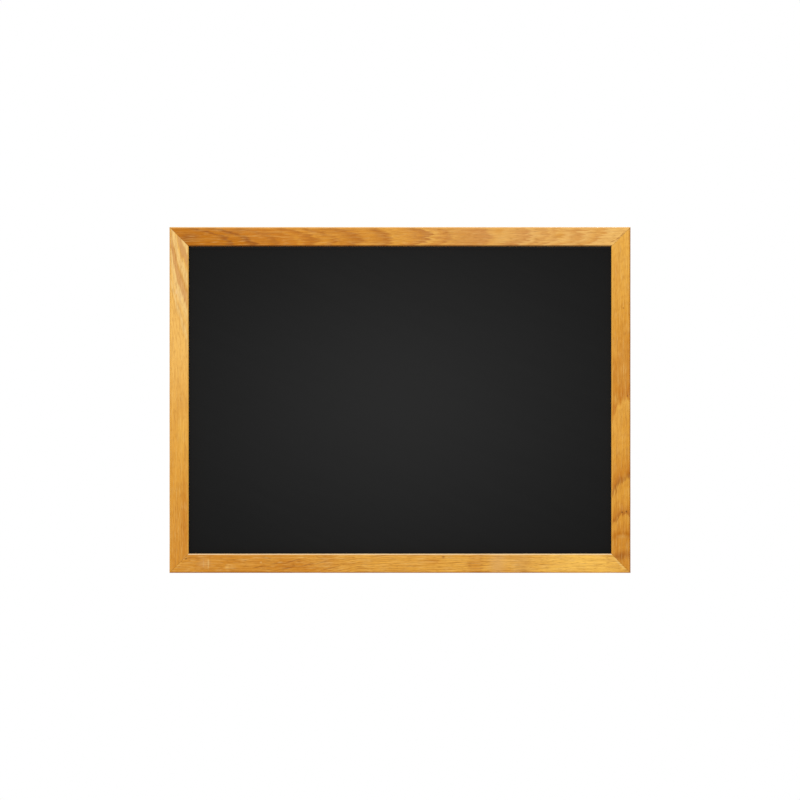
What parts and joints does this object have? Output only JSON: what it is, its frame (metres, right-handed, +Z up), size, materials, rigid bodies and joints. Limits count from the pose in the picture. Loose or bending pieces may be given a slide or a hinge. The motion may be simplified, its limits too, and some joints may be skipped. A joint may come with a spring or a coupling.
{
  "type": "wall chalkboard",
  "caption": "Landscape wall chalkboard: a matte black writing panel in a mitred honey oak frame, hung by hinged D-rings on its back.",
  "frame": {"origin": "middle of the top rail's back face, on the plane that faces the wall", "axes": "+X to the right as seen from the front, +Y out of the back towards the wall, +Z up; the writing side faces -Y"},
  "size_m": [0.6096, 0.0244, 0.4572],
  "materials": {
    "honey_oak": "honey-stained oak under a thin satin lacquer",
    "chalk_coating": "matte black chalk coating on hardboard",
    "brown_hardboard": "plain pressed hardboard",
    "zinc_steel": "bright zinc plating",
    "dark_steel": "blackened spring steel",
    "black_rubber": "matte moulded rubber"
  },
  "bodies": {
    "board": {"top_rail": "honey_oak", "bottom_rail": "honey_oak", "left_stile": "honey_oak", "right_stile": "honey_oak", "writing_panel": "chalk_coating", "backing_board": "brown_hardboard", "panel_point_top_1": "dark_steel", "panel_point_top_2": "dark_steel", "panel_point_top_3": "dark_steel", "panel_point_bottom_1": "dark_steel", "panel_point_bottom_2": "dark_steel", "panel_point_bottom_3": "dark_steel", "panel_point_left_1": "dark_steel", "panel_point_left_2": "dark_steel", "panel_point_right_1": "dark_steel", "panel_point_right_2": "dark_steel", "v_nail_top_left_1": "zinc_steel", "v_nail_top_left_2": "zinc_steel", "v_nail_top_right_1": "zinc_steel", "v_nail_top_right_2": "zinc_steel", "v_nail_bottom_left_1": "zinc_steel", "v_nail_bottom_left_2": "zinc_steel", "v_nail_bottom_right_1": "zinc_steel", "v_nail_bottom_right_2": "zinc_steel", "hanger_strap_left": "zinc_steel", "hanger_strap_right": "zinc_steel", "hanger_screw_left_upper": "zinc_steel", "hanger_screw_left_lower": "zinc_steel", "hanger_screw_right_upper": "zinc_steel", "hanger_screw_right_lower": "zinc_steel", "wall_bumper_left": "black_rubber", "wall_bumper_right": "black_rubber"},
    "left_ring": {"hanger_ring_left": "zinc_steel"},
    "right_ring": {"hanger_ring_right": "zinc_steel"}
  },
  "joints": [
    {"name": "left_ring_swing", "type": "hinge", "parent": "board", "child": "left_ring", "pos_m": [-0.2961, 0.0024, -0.1413], "axis": [-1, 0, 0], "range_deg": [0, 180]},
    {"name": "right_ring_swing", "type": "hinge", "parent": "board", "child": "right_ring", "pos_m": [0.2961, 0.0024, -0.1413], "axis": [-1, 0, 0], "range_deg": [0, 180]}
  ]
}
